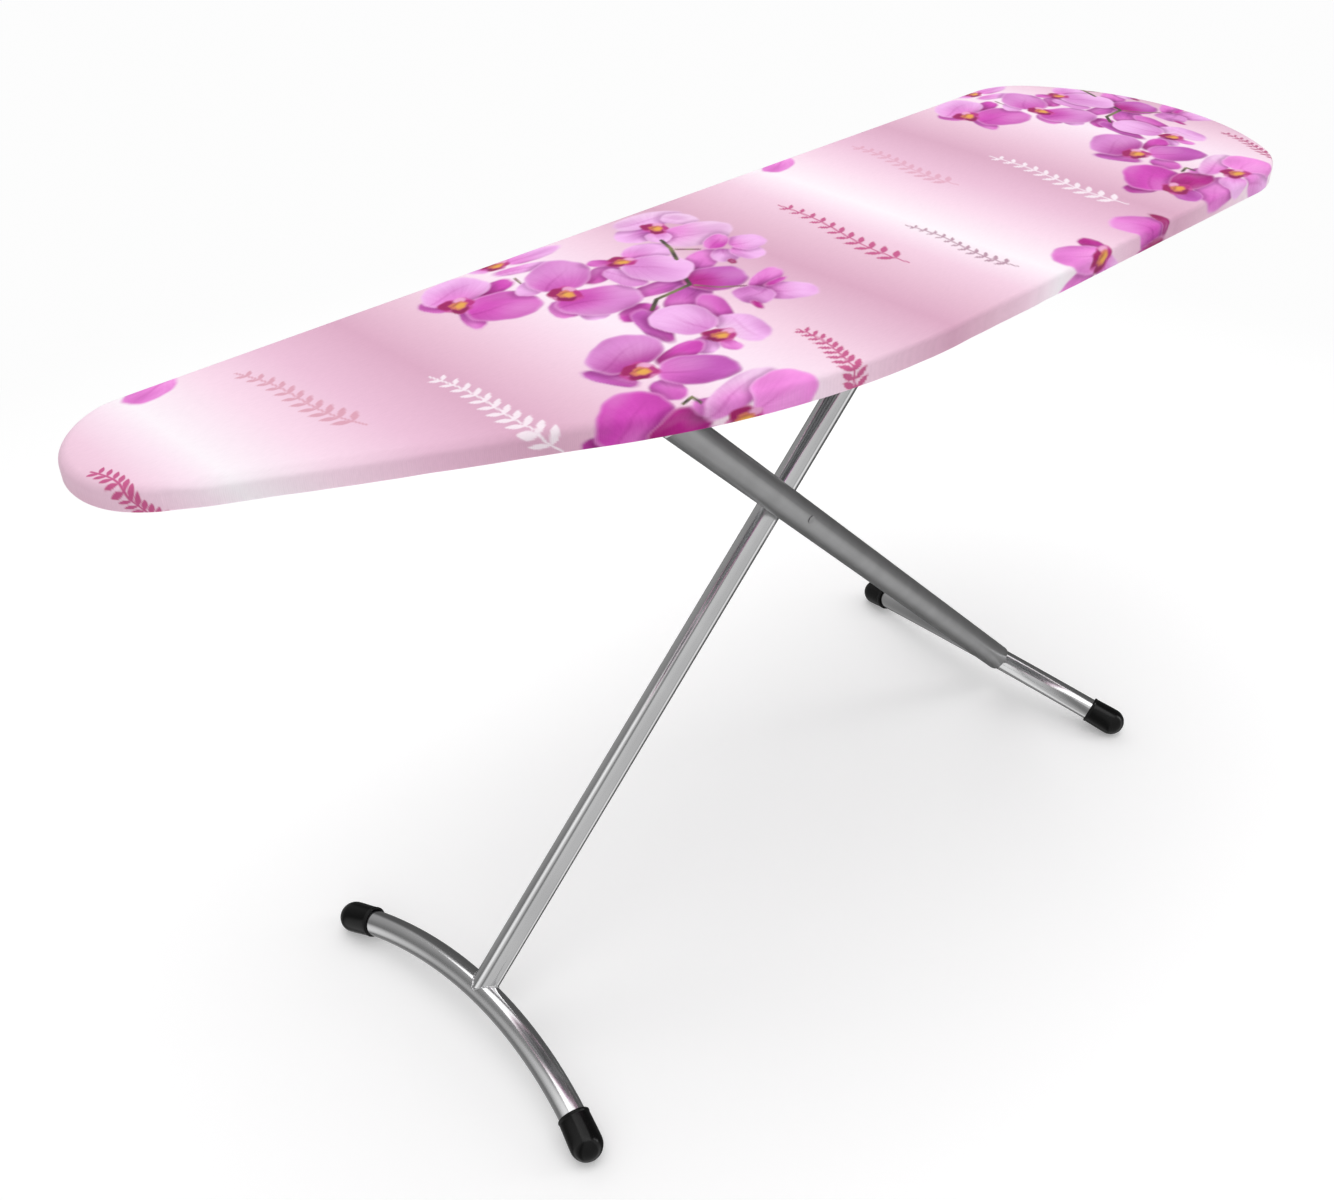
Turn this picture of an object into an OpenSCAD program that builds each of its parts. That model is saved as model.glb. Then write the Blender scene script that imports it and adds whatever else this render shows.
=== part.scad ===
// Folding ironing board on two crossed legs.
// X runs along the board with the nose at -X and the heel at +X, Y runs across it with the
// straight edge at +Y, and Z is up. The origin is on the floor, under the middle of the outer box.

/* [Board] */
// Length of the board
board_length = 1240; // [1150:5:1300]
// Width of the board behind the taper
board_width = 362; // [354:1:372]
// Height of the ironing surface above the floor
board_height = 648; // [646:1:654]
// Angle between the tapered edge and the straight edge, in degrees
taper_angle = 27.6; // [26.5:0.1:28]
// Length of the straight end of the nose
nose_flat = 2; // [1:1:12]
// Radius of the heel's bow
heel_radius = 240; // [235:1:260]
// Radius where the tapered edge bends into the near edge
bend_radius = 690; // [660:5:710]

/* [Top] */
// Thickness of the cover cloth
cover_thick = 1; // [0.8:0.1:1.2]
// Thickness of the foam pad
pad_thick = 6; // [5:0.5:7]
// Width of the cover's return under the rim
cover_return = 28; // [24:1:29]
// Height of the steel rim channel
rim_high = 12; // [11:0.5:12]

/* [Legs] */
// Angle between each leg and the floor, in degrees
leg_angle = 44.8; // [44.2:0.1:45.2]
// Distance along X between the centres of the two pairs of foot caps
foot_spread = 826; // [820:1:836]
// Place along X of the pivot where the legs cross
pivot_x = -32; // [-36:0.5:-28]
// Radius of the chrome leg's tube and of both foot bars
chrome_radius = 12.7; // [12:0.1:13]
// Radius of the grey leg's tube
grey_radius = 15; // [14.5:0.1:15.2]
// Wall thickness of the leg and foot tubes
tube_wall = 1.2; // [1:0.1:1.5]
// Length of each foot bar across its caps
foot_width = 395; // [385:1:395]
// How far the crown of each foot bar stands above its caps, along the leg
foot_rise = 36; // [32:1:42]

/* [Underside] */
// Height of the top axle and the sliding bar above the floor
axle_height = 612; // [611.5:0.1:612.5]
// Half the distance between the webs of the two rails
rail_half_gap = 65; // [64.5:0.5:66]
// Number of notches in the lock rack
notch_count = 9; // [5:1:9]
// Wire diameter of the return spring
spring_wire = 1.6; // [1.4:0.1:1.8]

/* [Hidden] */
$fn = 48;
eps = 0.01;

// Board outline: six arcs that touch each other or share a straight edge, anticlockwise.
far_edge_y = 202;
near_edge_y = far_edge_y - board_width;
nose_x = -board_length / 2;
heel_x = board_length / 2;
near_corner = 95;
far_corner = 80;
nose_far_corner = 76;
nose_near_corner = 70;
heel_centre = [heel_x - heel_radius, 22];
near_turn = asin((near_edge_y + near_corner - heel_centre[1]) / (heel_radius - near_corner));
far_turn = asin((far_edge_y - far_corner - heel_centre[1]) / (heel_radius - far_corner));
near_centre = heel_centre + (heel_radius - near_corner) * [cos(near_turn), sin(near_turn)];
far_centre = heel_centre + (heel_radius - far_corner) * [cos(far_turn), sin(far_turn)];
nose_far_centre = [nose_x + nose_far_corner, far_edge_y - nose_far_corner];
nose_near_centre = [nose_x + nose_near_corner, nose_far_centre[1] - nose_flat];
taper_normal = 270 - taper_angle;
bend_centre_y = near_edge_y + bend_radius;
bend_centre_x = (nose_near_centre * [cos(taper_normal), sin(taper_normal)] + nose_near_corner
    - bend_radius - bend_centre_y * sin(taper_normal)) / cos(taper_normal);
ARCS = [
    [near_centre, near_corner, -90, near_turn],
    [heel_centre, heel_radius, near_turn, far_turn],
    [far_centre, far_corner, far_turn, 90],
    [nose_far_centre, nose_far_corner, 90, 180],
    [nose_near_centre, nose_near_corner, 180, taper_normal],
    [[bend_centre_x, bend_centre_y], bend_radius, taper_normal, 270]
];
arc_step = 5;

// Heights of the layers of the top, from the surface down.
pad_top = board_height - cover_thick;
pad_bottom = pad_top - pad_thick;
panel_thick = 0.8;
panel_bottom = pad_bottom - panel_thick;
rim_inset = cover_thick + 1;
rim_wide = 12;
rim_wall = 1;
rim_bottom = panel_bottom - rim_high;
return_gap = 0.2;
cover_bottom = rim_bottom - return_gap - cover_thick;
hem_wide = 3;
hem_thick = 2.2;
member_high = 10;
member_bottom = panel_bottom - member_high;
member_wide = 24;
member_wall = 1.2;

// Scissor legs: their tops and feet are the same distance from the pivot on both legs.
cap_radius = 15.5;
cap_mouth_radius = 14.8;
cap_length = 28;
cap_socket = 24;
pivot_z = cap_radius + foot_spread / 2 * tan(leg_angle);
top_reach = (axle_height - pivot_z) / sin(leg_angle);
leg_length = top_reach + foot_spread / 2 / cos(leg_angle);
axle_x = pivot_x - top_reach * cos(leg_angle);
slider_x = pivot_x + top_reach * cos(leg_angle);
fold_down = 41;
fold_up = 20;
bar_y = -4.5;
chrome_y = bar_y;
leg_gap = 4.3;
grey_y = chrome_y - chrome_radius - leg_gap - grey_radius;

// Each foot bar is one arc; its caps go on along the tangent at its ends.
foot_end = cap_length - cap_socket;
foot_half = foot_width / 2 - cap_radius;
foot_turn = 2 * atan(foot_rise / (foot_half + foot_end));
foot_arc = (foot_half - foot_end * cos(foot_turn)) / sin(foot_turn);

// Rails, sliding bar and lock.
rail_wall = 1.8;
rail_deep = 12;
rail_slot = 9.8;
rail_lip = 1.5;
rail_overhang = 14;
lock_x = 336;
rail_start = axle_x - rail_overhang;
rail_end = lock_x + 16;
MEMBER_X = [-430, axle_x, 40, lock_x, 500];
axle_radius = 5;
bush_fit = 0.06;
crossbar_radius = 9;
crossbar_bore = 7;
slider_radius = 8;
slider_bore = 6;
bar_gap = 4;
bush_flange = 2;
bush_wall = 1.5;
glide_radius = 9.5;
shaft_radius = 4;
rivet_radius = 3;
rivet_head = 3.8;
rivet_proud = 0.7;
rivet_end = 4;
nut_radius = 7;
nut_high = 5.4;
nut_gap = 0.4;
dome_radius = 6;
pin_head = 3;
rail_rivet = 2;
rail_rivet_head = 1.3;
rail_rivet_inset = 6;
rail_rivet_way = 1.5;
nut_thick = 2.5;
lever_y = -118;
lever_wide = 18;
lever_thick = 3;
lever_length = 130;
grip_start = 58;
grip_radius = 11;
grip_half = 6.5;
rack_y = 30;
rack_gap = 0.6;
rack_deep = 19;
rack_lead = 20;
notch_deep = 8;
notch_wide = 17;
slider_end = axle_x + 2 * top_reach * cos(leg_angle + fold_up);
notch_start = slider_end;
rack_tail = 60;
notch_pitch = (lock_x - rack_tail - notch_start) / (notch_count - 1);
spring_turns = 5;
spring_radius = 6.5;
spring_y = -106;

function arc_points(arc, inset) =
    let(steps = max(2, ceil((arc[3] - arc[2]) / arc_step)))
    [for (i = [0:steps]) let(a = arc[2] + (arc[3] - arc[2]) * i / steps)
        arc[0] + (arc[1] - inset) * [cos(a), sin(a)]];

function outline(inset) = [for (arc = ARCS) for (p = arc_points(arc, inset)) p];

// A flat slab with the board's outline, moved in from its edge.
module slab(inset, bottom, top) {
    translate([0, 0, bottom])
        linear_extrude(top - bottom)
            polygon(outline(inset));
}

// A ring section for a tube; a bore of 0 gives a solid rod.
module tube_section(radius, bore) {
    difference() {
        circle(radius);
        if (bore > 0) circle(bore);
    }
}

// A rod along Y between two places.
module y_rod(x, y0, y1, z, radius) {
    translate([x, y0, z])
        rotate([-90, 0, 0])
            cylinder(h = y1 - y0, r = radius);
}

// A tube along Y.
module y_tube(x, y0, y1, z, radius, bore) {
    difference() {
        y_rod(x, y0, y1, z, radius);
        y_rod(x, y0 - 1, y1 + 1, z, bore);
    }
}

// The space along the grey leg: local +Z runs from its top axle to its foot.
module on_grey_leg() {
    translate([axle_x, 0, axle_height]) rotate([0, 90 + leg_angle, 0]) children();
}

// The same for the chrome leg.
module on_chrome_leg() {
    translate([slider_x, 0, axle_height]) rotate([0, -90 - leg_angle, 0]) children();
}

// Puts a child at the arc centre of a foot bar, with local +X towards the leg's top.
module foot_arc_place() {
    translate([0, bar_y, leg_length - foot_rise + foot_arc]) rotate([0, 90, 0]) children();
}

// The foot bar's arc; a bore of 0 gives it solid.
module foot_tube(bore) {
    foot_arc_place()
        rotate([0, 0, -foot_turn])
            rotate_extrude(angle = 2 * foot_turn)
                translate([foot_arc, 0])
                    tube_section(chrome_radius, bore);
}

// A bullet-shaped end cap with a blind socket for the foot bar's end.
module foot_cap(side) {
    difference() {
        foot_arc_place()
            rotate([0, 0, side * foot_turn])
                translate([foot_arc, 0, 0])
                    rotate([-90 * side, 0, 0])
                        translate([0, 0, foot_end]) {
                            sphere(r = cap_radius);
                            translate([0, 0, -cap_length])
                                cylinder(h = cap_length, r1 = cap_mouth_radius, r2 = cap_radius);
                        }
        foot_tube(0);
    }
}

// A leg tube, coped onto its crossbar at the top and onto its foot bar at the bottom.
module leg_tube(y, radius, top_bar) {
    difference() {
        translate([0, y, 0])
            cylinder(h = leg_length - foot_rise - 2, r = radius);
        translate([0, y, -1])
            cylinder(h = leg_length, r = radius - tube_wall);
        y_rod(0, y - 40, y + 40, 0, top_bar);
        foot_tube(0);
    }
}

module cover() {
    color([0.93, 0.78, 0.88])
        difference() {
            slab(0, cover_bottom, board_height);
            slab(cover_thick, cover_bottom + cover_thick, pad_top);
            slab(cover_return, cover_bottom - 1, cover_bottom + cover_thick + eps);
        }
}

module pad() {
    color([0.95, 0.94, 0.90]) slab(cover_thick, pad_bottom, pad_top);
}

// Flat elastic sewn along the edge of the return.
module hem_elastic() {
    color([0.93, 0.90, 0.92])
        difference() {
            slab(cover_return, cover_bottom, cover_bottom + hem_thick);
            slab(cover_return + hem_wide, cover_bottom - 1, cover_bottom + hem_thick + 1);
        }
}

module mesh_panel() {
    color([0.75, 0.76, 0.78]) slab(rim_inset, panel_bottom, pad_bottom);
}

// A rolled steel channel all round the edge, open inwards.
module rim_channel() {
    color([0.62, 0.63, 0.65])
        difference() {
            slab(rim_inset, rim_bottom, panel_bottom);
            slab(rim_inset + rim_wall, rim_bottom + rim_wall, panel_bottom - rim_wall);
            slab(rim_inset + rim_wide, rim_bottom - 1, panel_bottom + 1);
        }
}

// The line of the rivets that join one rail to the cross members.
function rivet_y(side) = bar_y + side * (rail_half_gap - rail_wall - rail_rivet_inset);

// Holes for those rivets at one cross member.
module rivet_holes(x, radius) {
    for (side = [-1, 1])
        translate([x, rivet_y(side), member_bottom - 3])
            cylinder(h = member_wall + 5, r = radius);
}

// A flat box tube from rim to rim under the panel.
module cross_member(x, riveted) {
    color([0.62, 0.63, 0.65])
        difference() {
            intersection() {
                translate([x - member_wide / 2, -300, member_bottom])
                    cube([member_wide, 600, member_high]);
                slab(rim_inset + rim_wide, member_bottom - 1, panel_bottom + 1);
            }
            translate([x - member_wide / 2 + member_wall, -300, member_bottom + member_wall])
                cube([member_wide - 2 * member_wall, 600, member_high - 2 * member_wall]);
            if (riveted) rivet_holes(x, rail_rivet);
        }
}

// One flat strip of a rail: from the web inwards, or the web itself.
module rail_strip(from_y, to_y, bottom, top) {
    translate([rail_start, min(from_y, to_y), bottom])
        cube([rail_end - rail_start, abs(to_y - from_y), top - bottom]);
}

// An aluminium rail: an upright web with a track for the sliding bar and a foot on top.
module guide_rail(side) {
    web = bar_y + side * (rail_half_gap - rail_wall);
    track = axle_height - rail_slot - rail_lip;
    color([0.80, 0.81, 0.83])
        difference() {
            union() {
                rail_strip(web, web + side * rail_wall, track, member_bottom);
                for (z = [track, axle_height + rail_slot, member_bottom - rail_lip])
                    rail_strip(web - side * rail_deep, web + side * eps, z, z + rail_lip);
            }
            y_rod(axle_x, web - 5, web + 5, axle_height, axle_radius);
            y_rod(lock_x, web - 5, web + 5, axle_height, shaft_radius + bush_wall);
            for (i = [1:3]) rivet_holes(MEMBER_X[i], rail_rivet);
            for (i = [1:3])
                translate([MEMBER_X[i], rivet_y(side), axle_height])
                    cylinder(h = rail_slot + rail_lip + 1, r = rail_rivet + rail_rivet_way);
        }
}

// A rivet with a head under the rail's foot and a closed end in the cross member.
module rail_rivet_at(x, side) {
    translate([x, rivet_y(side), member_bottom - rail_lip]) {
        translate([0, 0, -rail_rivet_head])
            cylinder(h = rail_rivet_head, r = rail_rivet + rail_rivet_head);
        cylinder(h = rail_lip + member_wall, r = rail_rivet);
        translate([0, 0, rail_lip + member_wall])
            cylinder(h = 1, r = rail_rivet + 1);
    }
}

module rail_rivets() {
    color([0.85, 0.86, 0.88])
        for (i = [1:3])
            for (side = [-1, 1])
                rail_rivet_at(MEMBER_X[i], side);
}

module top_axle() {
    near = bar_y - rail_half_gap;
    color([0.78, 0.79, 0.80]) {
        y_rod(axle_x, near, bar_y + rail_half_gap + nut_thick + 1.5, axle_height, axle_radius);
        y_rod(axle_x, near - pin_head, near, axle_height, axle_radius + pin_head);
    }
}

module axle_push_nut() {
    color([0.70, 0.71, 0.72])
        y_tube(axle_x, bar_y + rail_half_gap, bar_y + rail_half_gap + nut_thick, axle_height,
            axle_radius + 4, axle_radius);
}

module axle_spacers() {
    reach = rail_half_gap - rail_wall;
    inner = rail_half_gap - rail_wall - rail_deep - bar_gap + bush_flange + 0.3;
    color([0.9, 0.9, 0.88]) {
        y_tube(axle_x, bar_y - reach, bar_y - inner, axle_height, axle_radius + 2, axle_radius);
        y_tube(axle_x, bar_y + inner, bar_y + reach, axle_height, axle_radius + 2, axle_radius);
    }
}

module lock_bushes() {
    color([0.9, 0.9, 0.88])
        for (side = [-1, 1]) {
            face = bar_y + side * rail_half_gap;
            near = face - side * rail_wall;
            flange = face + side * bush_wall;
            y_tube(lock_x, min(face, near), max(face, near), axle_height, shaft_radius + bush_wall,
                shaft_radius + bush_fit);
            y_tube(lock_x, min(face, flange), max(face, flange), axle_height, shaft_radius + 4,
                shaft_radius + bush_fit);
        }
}

// A notched plate under the sliding bar, fixed to the lock shaft.
module lock_rack() {
    tip = axle_height - slider_radius - rack_gap;
    near = rack_y - lever_thick / 2;
    color([0.72, 0.73, 0.75])
        difference() {
            union() {
                translate([slider_end - rack_lead, near, tip - rack_deep])
                    cube([lock_x - slider_end + rack_lead, lever_thick, rack_deep]);
                y_rod(lock_x, near, near + lever_thick, axle_height, lever_wide / 2);
                translate([lock_x - lever_wide / 2, near, tip - rack_deep])
                    cube([lever_wide, lever_thick, axle_height - tip + rack_deep]);
            }
            for (i = [0:notch_count - 1])
                translate([notch_start + i * notch_pitch - notch_wide / 2, near - 1, tip - notch_deep])
                    cube([notch_wide, lever_thick + 2, notch_deep + 1]);
            y_rod(lock_x, rack_y - 5, rack_y + 5, axle_height, shaft_radius);
        }
}

module lock_shaft() {
    color([0.78, 0.79, 0.80])
        y_rod(lock_x, lever_y - lever_thick / 2 - 3, bar_y + rail_half_gap + 5, axle_height,
            shaft_radius);
}

module release_lever() {
    color([0.72, 0.73, 0.75])
        difference() {
            union() {
                y_rod(lock_x, lever_y - lever_thick / 2, lever_y + lever_thick / 2, axle_height,
                    lever_wide / 2);
                translate([lock_x, lever_y - lever_thick / 2, axle_height - lever_wide / 2])
                    cube([lever_length, lever_thick, lever_wide]);
            }
            y_rod(lock_x, lever_y - 5, lever_y + 5, axle_height, shaft_radius);
        }
}

// A moulded handle with rounded ends over the end of the lever.
module lever_grip() {
    from_x = lock_x + grip_start;
    to_x = lock_x + lever_length + 4;
    color([0.10, 0.10, 0.11])
        difference() {
            union() {
                for (x = [from_x, to_x])
                    y_rod(x, lever_y - grip_half, lever_y + grip_half, axle_height, grip_radius);
                translate([from_x, lever_y - grip_half, axle_height - grip_radius])
                    cube([to_x - from_x, 2 * grip_half, 2 * grip_radius]);
            }
            translate([from_x - 20, lever_y - lever_thick / 2, axle_height - lever_wide / 2])
                cube([lock_x + lever_length - from_x + 20, lever_thick, lever_wide]);
        }
}

// A torsion spring round the lock shaft; one tail reaches the lever and the other the rail.
spring_sides = 6;
spring_steps = 12;
function spring_frame(t) =
    let(a = 360 * t)
    [spring_radius * cos(a), (spring_wire + 0.3) * t, spring_radius * sin(a)];
function spring_ring(t) =
    let(a = 360 * t, c = spring_frame(t))
    [for (k = [0:spring_sides - 1]) let(b = 360 * k / spring_sides, r = spring_wire / 2)
        c + [r * cos(b) * cos(a), r * sin(b), r * cos(b) * sin(a)]];
module return_spring() {
    rings = spring_turns * spring_steps;
    points = [for (i = [0:rings]) for (p = spring_ring(i / spring_steps)) p];
    sides = [for (i = [0:rings - 1]) for (k = [0:spring_sides - 1])
        let(a = i * spring_sides + k, b = i * spring_sides + (k + 1) % spring_sides)
        [a, b, b + spring_sides, a + spring_sides]];
    ends = [[for (k = [spring_sides - 1:-1:0]) k],
        [for (k = [0:spring_sides - 1]) rings * spring_sides + k]];
    color([0.66, 0.67, 0.69])
        translate([lock_x, spring_y, axle_height])
            polyhedron(points = points, faces = concat(sides, ends), convexity = 8);
}

module grey_leg() {
    color([0.50, 0.50, 0.51])
        difference() {
            on_grey_leg() leg_tube(grey_y, grey_radius, crossbar_radius);
            y_rod(pivot_x, grey_y - 20, grey_y + 20, pivot_z, rivet_radius);
        }
}

module grey_leg_crossbar() {
    reach = rail_half_gap - rail_wall - rail_deep - bar_gap;
    color([0.50, 0.50, 0.51])
        y_tube(axle_x, bar_y - reach, bar_y + reach, axle_height, crossbar_radius, crossbar_bore);
}

module crossbar_bushes() {
    reach = rail_half_gap - rail_wall - rail_deep - bar_gap;
    color([0.9, 0.9, 0.88])
        for (side = [-1, 1]) {
            face = bar_y + side * reach;
            inner = face - side * 14;
            outer = face + side * bush_flange;
            y_tube(axle_x, min(face, inner), max(face, inner), axle_height, crossbar_bore,
                axle_radius + bush_fit);
            y_tube(axle_x, min(face, outer), max(face, outer), axle_height, crossbar_radius,
                axle_radius + bush_fit);
        }
}

module grey_foot_bar() {
    color([0.80, 0.81, 0.82])
        on_grey_leg() foot_tube(chrome_radius - tube_wall);
}

module rear_cap_near() {
    color([0.05, 0.05, 0.05]) on_grey_leg() foot_cap(-1);
}

module rear_cap_far() {
    color([0.05, 0.05, 0.05]) on_grey_leg() foot_cap(1);
}

module pivot_rivet() {
    color([0.60, 0.60, 0.61]) {
        y_rod(pivot_x, grey_y - grey_radius, chrome_y + chrome_radius + rivet_end, pivot_z,
            rivet_radius);
        y_rod(pivot_x, grey_y - grey_radius - rivet_proud, grey_y - grey_radius, pivot_z, rivet_head);
    }
}

module pivot_spacer() {
    color([0.9, 0.9, 0.88])
        y_tube(pivot_x, grey_y + grey_radius + 0.3, chrome_y - chrome_radius - 0.3, pivot_z,
            rivet_radius + 4, rivet_radius);
}

// A cap nut: a round body, a dome on its outside and a blind hole for the rivet's end.
module pivot_cap_nut() {
    face = chrome_y + chrome_radius;
    color([0.78, 0.79, 0.80])
        difference() {
            union() {
                y_rod(pivot_x, face + nut_gap, face + nut_high, pivot_z, nut_radius);
                intersection() {
                    translate([pivot_x, face + nut_high - 2, pivot_z]) sphere(r = dome_radius);
                    y_rod(pivot_x, face + nut_high, face + nut_high + dome_radius, pivot_z, nut_radius);
                }
            }
            y_rod(pivot_x, face - 1, face + rivet_end, pivot_z, rivet_radius);
        }
}

module chrome_leg() {
    color([0.80, 0.81, 0.82])
        difference() {
            on_chrome_leg() leg_tube(chrome_y, chrome_radius, slider_radius);
            y_rod(pivot_x, chrome_y - 20, chrome_y + 20, pivot_z, rivet_radius + bush_wall);
        }
}

module pivot_bush() {
    color([0.9, 0.9, 0.88])
        y_tube(pivot_x, chrome_y - chrome_radius, chrome_y + chrome_radius, pivot_z,
            rivet_radius + bush_wall, rivet_radius + bush_fit);
}

module chrome_foot_bar() {
    color([0.80, 0.81, 0.82])
        on_chrome_leg() foot_tube(chrome_radius - tube_wall);
}

module front_cap_near() {
    color([0.05, 0.05, 0.05]) on_chrome_leg() foot_cap(-1);
}

module front_cap_far() {
    color([0.05, 0.05, 0.05]) on_chrome_leg() foot_cap(1);
}

module slider_bar() {
    reach = rail_half_gap - rail_wall - rail_deep + 1 - bar_gap;
    color([0.80, 0.81, 0.82])
        y_tube(slider_x, bar_y - reach, bar_y + reach, axle_height, slider_radius, slider_bore);
}

// A round nylon glide: a plug in the sliding bar's end and a disc in the rail's track.
module glide(side) {
    bar_end = bar_y + side * (rail_half_gap - rail_wall - rail_deep + 1 - bar_gap);
    plug_end = bar_end - side * 15;
    disc_start = bar_y + side * (rail_half_gap - rail_wall - rail_deep + 1);
    disc_end = bar_y + side * (rail_half_gap - rail_wall - 0.5);
    color([0.93, 0.93, 0.90]) {
        y_rod(slider_x, min(plug_end, disc_start), max(plug_end, disc_start), axle_height,
            slider_bore);
        y_rod(slider_x, min(disc_start, disc_end), max(disc_start, disc_end), axle_height,
            glide_radius);
    }
}

module glide_near() { glide(-1); }
module glide_far() { glide(1); }

cover();
pad();
hem_elastic();
mesh_panel();
rim_channel();
cross_member(MEMBER_X[0], false);  // cross_member_nose
cross_member(MEMBER_X[1], true);  // cross_member_front
cross_member(MEMBER_X[2], true);  // cross_member_middle
cross_member(MEMBER_X[3], true);  // cross_member_rear
cross_member(MEMBER_X[4], false);  // cross_member_heel
guide_rail(-1);  // guide_rail_near
guide_rail(1);  // guide_rail_far
rail_rivets();
top_axle();
axle_push_nut();
axle_spacers();
lock_bushes();
lock_rack();
lock_shaft();
release_lever();
lever_grip();
return_spring();
grey_leg();
grey_leg_crossbar();
crossbar_bushes();
grey_foot_bar();
rear_cap_near();
rear_cap_far();
pivot_rivet();
pivot_spacer();
pivot_cap_nut();
chrome_leg();
pivot_bush();
chrome_foot_bar();
front_cap_near();
front_cap_far();
slider_bar();
glide_near();
glide_far();
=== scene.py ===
"""An ironing board on crossed tube legs: cloth cover, pad, steel mesh, foot caps, materials, stage."""
import math

import bpy
import numpy as np
from mathutils import Matrix, Vector

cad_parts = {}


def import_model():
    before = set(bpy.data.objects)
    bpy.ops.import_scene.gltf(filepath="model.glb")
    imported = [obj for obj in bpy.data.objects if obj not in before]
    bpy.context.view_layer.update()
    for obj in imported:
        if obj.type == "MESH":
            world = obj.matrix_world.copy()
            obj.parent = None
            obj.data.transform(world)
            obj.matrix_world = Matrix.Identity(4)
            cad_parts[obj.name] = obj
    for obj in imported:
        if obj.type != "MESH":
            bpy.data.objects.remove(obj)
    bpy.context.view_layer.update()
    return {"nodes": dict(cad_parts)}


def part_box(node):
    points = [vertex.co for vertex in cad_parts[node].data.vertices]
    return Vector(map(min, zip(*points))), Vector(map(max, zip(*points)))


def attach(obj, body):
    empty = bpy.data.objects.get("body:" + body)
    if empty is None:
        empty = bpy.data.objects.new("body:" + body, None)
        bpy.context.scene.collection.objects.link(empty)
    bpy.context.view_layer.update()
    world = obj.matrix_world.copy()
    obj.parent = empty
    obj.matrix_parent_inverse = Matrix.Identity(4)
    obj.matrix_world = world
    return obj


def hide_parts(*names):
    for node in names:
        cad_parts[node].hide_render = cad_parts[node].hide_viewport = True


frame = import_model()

MM = 0.001  # lengths below are in millimetres unless a comment says metres

# ---------------------------------------------------------------- board outline
COVER_LOW, COVER_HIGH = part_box("cover")
NOSE_X, NEAR_Y = COVER_LOW[0] / MM, COVER_LOW[1] / MM
HEEL_X, FAR_Y = COVER_HIGH[0] / MM, COVER_HIGH[1] / MM
TOP_Z, RETURN_Z = COVER_HIGH[2] / MM, COVER_LOW[2] / MM
PAD_LOW, PAD_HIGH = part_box("pad")
PANEL_LOW, PANEL_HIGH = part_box("mesh_panel")
TAPER = math.radians(27.6)  # the near side's slope towards the nose
BOW_R, BOW_Y = 240, 22  # the heel's wide bow and its centre
BEND_R = 690  # the bend between the straight and the tapered near side
HEEL_NEAR_R, HEEL_FAR_R, NOSE_FAR_R, NOSE_NEAR_R = 95, 80, 76, 70
NOSE_FLAT = 2  # between the nose's two arcs
ARC_STEP = 0.5  # the most between an arc's points


def board_arcs():
    """The outline's six arcs, anticlockwise: centre x and y, radius, first and last angle."""
    bow = (HEEL_X - BOW_R, BOW_Y)
    near = math.asin((NEAR_Y + HEEL_NEAR_R - BOW_Y) / (BOW_R - HEEL_NEAR_R))
    far = math.asin((FAR_Y - HEEL_FAR_R - BOW_Y) / (BOW_R - HEEL_FAR_R))
    near_at = (bow[0] + (BOW_R - HEEL_NEAR_R) * math.cos(near), NEAR_Y + HEEL_NEAR_R)
    far_at = (bow[0] + (BOW_R - HEEL_FAR_R) * math.cos(far), FAR_Y - HEEL_FAR_R)
    nose_far = (NOSE_X + NOSE_FAR_R, FAR_Y - NOSE_FAR_R)
    nose_near = (NOSE_X + NOSE_NEAR_R, nose_far[1] - NOSE_FLAT)
    turn = 1.5 * math.pi - TAPER
    bend_y = NEAR_Y + BEND_R
    bend_x = (nose_near[0] * math.cos(turn) + nose_near[1] * math.sin(turn) + NOSE_NEAR_R
              - BEND_R - bend_y * math.sin(turn)) / math.cos(turn)
    half = math.pi / 2
    return [(*near_at, HEEL_NEAR_R, -half, near), (*bow, BOW_R, near, far),
            (*far_at, HEEL_FAR_R, far, half), (*nose_far, NOSE_FAR_R, half, math.pi),
            (*nose_near, NOSE_NEAR_R, math.pi, turn), (bend_x, bend_y, BEND_R, turn, 3 * half)]


ARCS = board_arcs()


def arc_run(arc):
    """Points and outward normals along one arc."""
    x, y, r, a, b = arc
    t = np.linspace(a, b, max(2, math.ceil(r * (b - a) / ARC_STEP) + 1))
    n = np.stack([np.cos(t), np.sin(t)], 1)
    return np.array([x, y]) + r * n, n


def even(points, normals, count):
    """The same line again with evenly spaced points."""
    keep = np.r_[True, np.linalg.norm(np.diff(points, axis=0), axis=1) > 1e-9]
    points, normals = points[keep], normals[keep]
    along = np.r_[0, np.cumsum(np.linalg.norm(np.diff(points, axis=0), axis=1))]
    at = np.linspace(0, along[-1], count + 1)
    p = np.stack([np.interp(at, along, points[:, k]) for k in (0, 1)], 1)
    n = np.stack([np.interp(at, along, normals[:, k]) for k in (0, 1)], 1)
    return p, n / np.linalg.norm(n, axis=1)[:, None]


def four_sides(stations, around):
    """The near edge, heel, far edge and nose as runs of (points, normals), anticlockwise."""
    near = [arc_run(ARCS[i]) for i in (4, 5, 0)]
    near_p = np.concatenate([near[0][0][-1:], near[1][0], near[2][0][:1]])
    near_n = np.concatenate([near[0][1][-1:], near[1][1], near[2][1][:1]])
    heel = [arc_run(ARCS[i]) for i in (0, 1, 2)]
    nose = [arc_run(ARCS[i]) for i in (3, 4)]
    far_p = np.array([heel[2][0][-1], nose[0][0][0]])
    up = np.array([[0.0, 1.0], [0.0, 1.0]])
    joined = [[np.concatenate([r[k] for r in runs]) for k in (0, 1)] for runs in (heel, nose)]
    return (even(near_p, near_n, stations), even(*joined[0], around),
            even(far_p, up, stations), even(*joined[1], around))


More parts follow.
